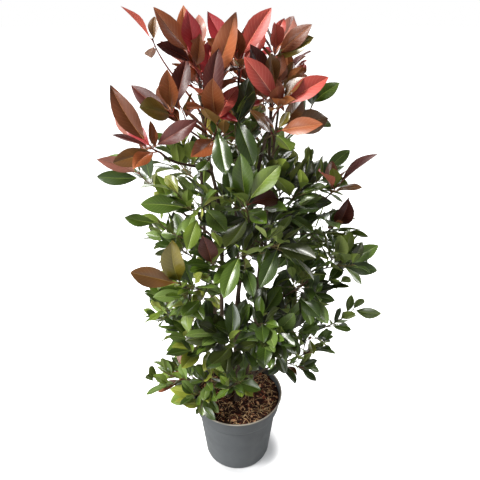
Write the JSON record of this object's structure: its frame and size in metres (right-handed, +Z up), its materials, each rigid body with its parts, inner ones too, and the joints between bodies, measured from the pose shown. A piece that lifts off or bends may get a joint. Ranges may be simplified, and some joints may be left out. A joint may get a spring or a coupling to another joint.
{
  "type": "potted photinia shrub",
  "caption": "Bushy evergreen shrub with red young leaves above glossy dark green ones, on slender stems that rise from potting soil in a round nursery pot.",
  "frame": {"origin": "centre of the pot's flat underside", "axes": "+Z up along the pot's axis, -Y towards the front of the shrub, +X to the viewer's right"},
  "size_m": [0.5857, 0.455, 1.0344],
  "materials": {
    "pot_plastic": "smooth moulded grey nursery pot",
    "potting_soil": "dark crumbly compost with bark chips",
    "bark": "thin dull brown bark",
    "foliage_red": "young leaves, coral to copper red, satin",
    "foliage_bronze": "ripening leaves, bronze to olive brown, satin",
    "foliage_green": "old leaves, glossy dark green, paler below"
  },
  "bodies": {
    "root": {"pot": "pot_plastic", "potting_soil": "potting_soil", "stem_back_left": "bark", "stem_back_right": "bark", "stem_centre": "bark", "stem_left": "bark", "stem_middle": "bark", "stem_right": "bark", "bough_left": "bark", "bough_left_middle": "bark", "bough_right_low": "bark", "bough_right_middle": "bark", "crown_far_left": "foliage_red", "crown_left": "foliage_red", "crown_middle": "foliage_red", "crown_front": "foliage_bronze", "crown_centre": "foliage_red", "crown_right": "foliage_red", "crown_right_inner": "foliage_bronze", "crown_right_low": "foliage_red", "right_bronze": "foliage_bronze", "left_bronze": "foliage_bronze", "left_copper": "foliage_red", "crown_back_left": "foliage_red", "crown_back": "foliage_red", "crown_back_right": "foliage_red", "right_high": "foliage_green", "centre_upper": "foliage_green", "left_side_high": "foliage_green", "left_side_low": "foliage_green", "left_bronze_low": "foliage_bronze", "front_left": "foliage_green", "front_green": "foliage_green", "front_bronze": "foliage_bronze", "front_middle": "foliage_green", "front_right": "foliage_green", "right_inner": "foliage_green", "right_side_high": "foliage_green", "right_long_red": "foliage_bronze", "right_side_middle": "foliage_bronze", "right_front_middle": "foliage_green", "right_side_low": "foliage_green", "back_high_left": "foliage_green", "back_high": "foliage_bronze", "back_high_right": "foliage_green", "back_middle_left": "foliage_green", "back_middle": "foliage_green", "back_middle_right": "foliage_green", "left_low_high": "foliage_green", "left_low_front": "foliage_green", "front_low": "foliage_green", "front_low_right": "foliage_green", "right_low_inner": "foliage_green", "right_low": "foliage_green", "right_foot": "foliage_green", "back_low_left": "foliage_green", "back_low_right": "foliage_green", "left_foot": "foliage_green", "left_rim": "foliage_green", "front_foot": "foliage_green"}
  },
  "joints": []
}
